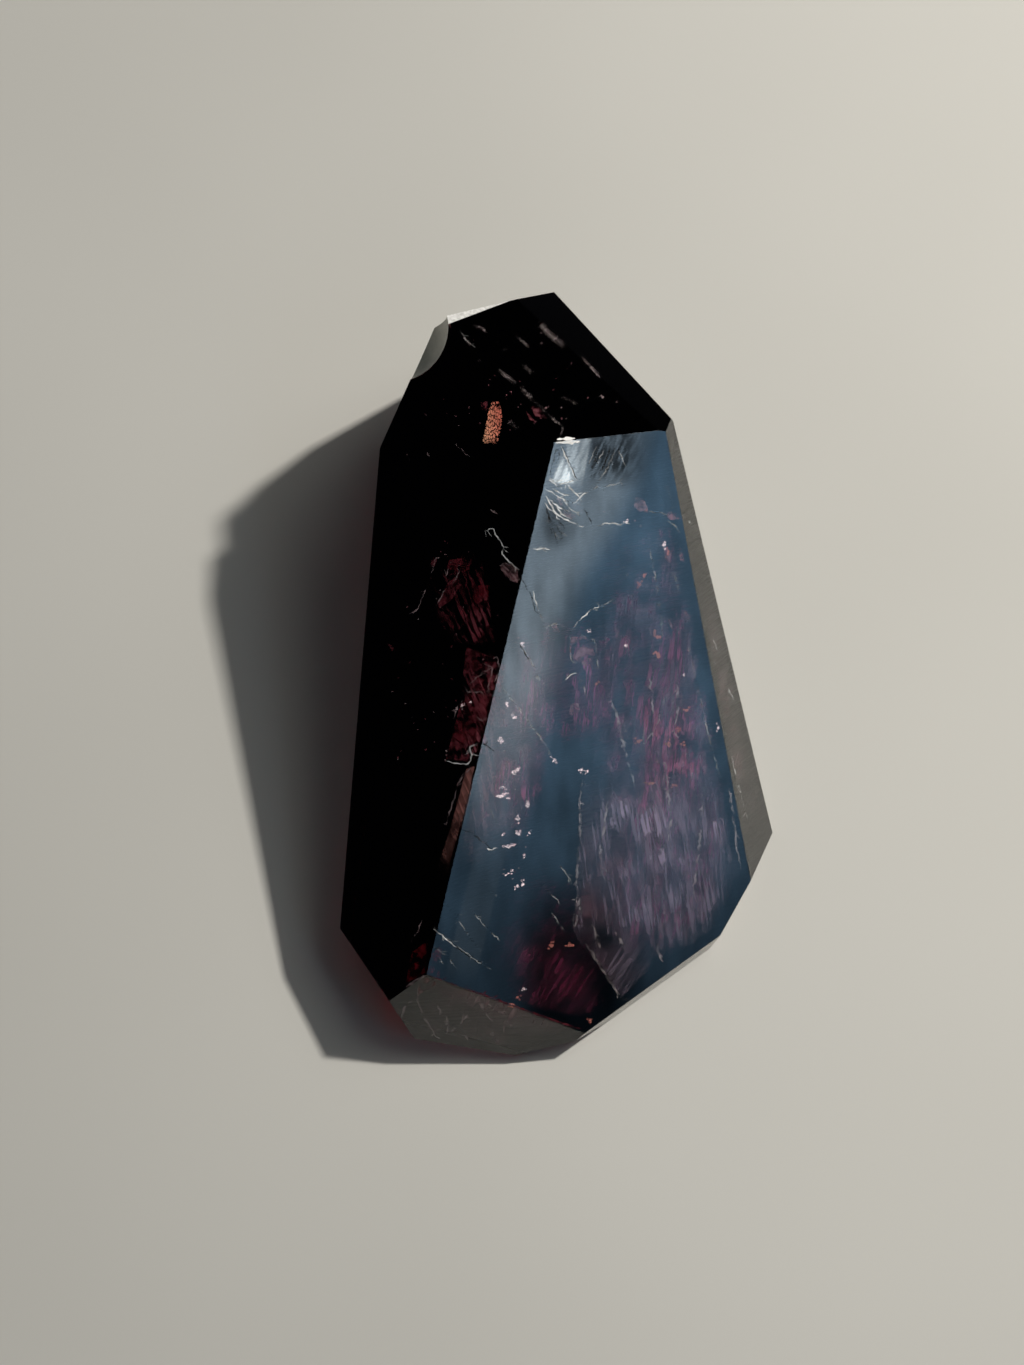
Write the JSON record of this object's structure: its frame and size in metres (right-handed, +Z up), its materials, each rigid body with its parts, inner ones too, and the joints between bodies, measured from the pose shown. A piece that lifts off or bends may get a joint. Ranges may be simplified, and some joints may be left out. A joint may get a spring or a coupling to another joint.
{
  "type": "polished garnet crystal",
  "caption": "Palm-size garnet stone, near-black deep red, ground into broad flat facets with one chipped corner; lies on its flat base.",
  "frame": {"origin": "centre of the bounding box's footprint, on the base plane", "axes": "+Z up from the table, +Y along the stone's length towards its thick end, +X to the right as seen from the thin end"},
  "size_m": [0.047, 0.088, 0.031],
  "materials": {
    "garnet": "high polish on flat facets, deep red see-through body"
  },
  "bodies": {
    "root": {"garnet_crystal": "garnet"}
  },
  "joints": []
}
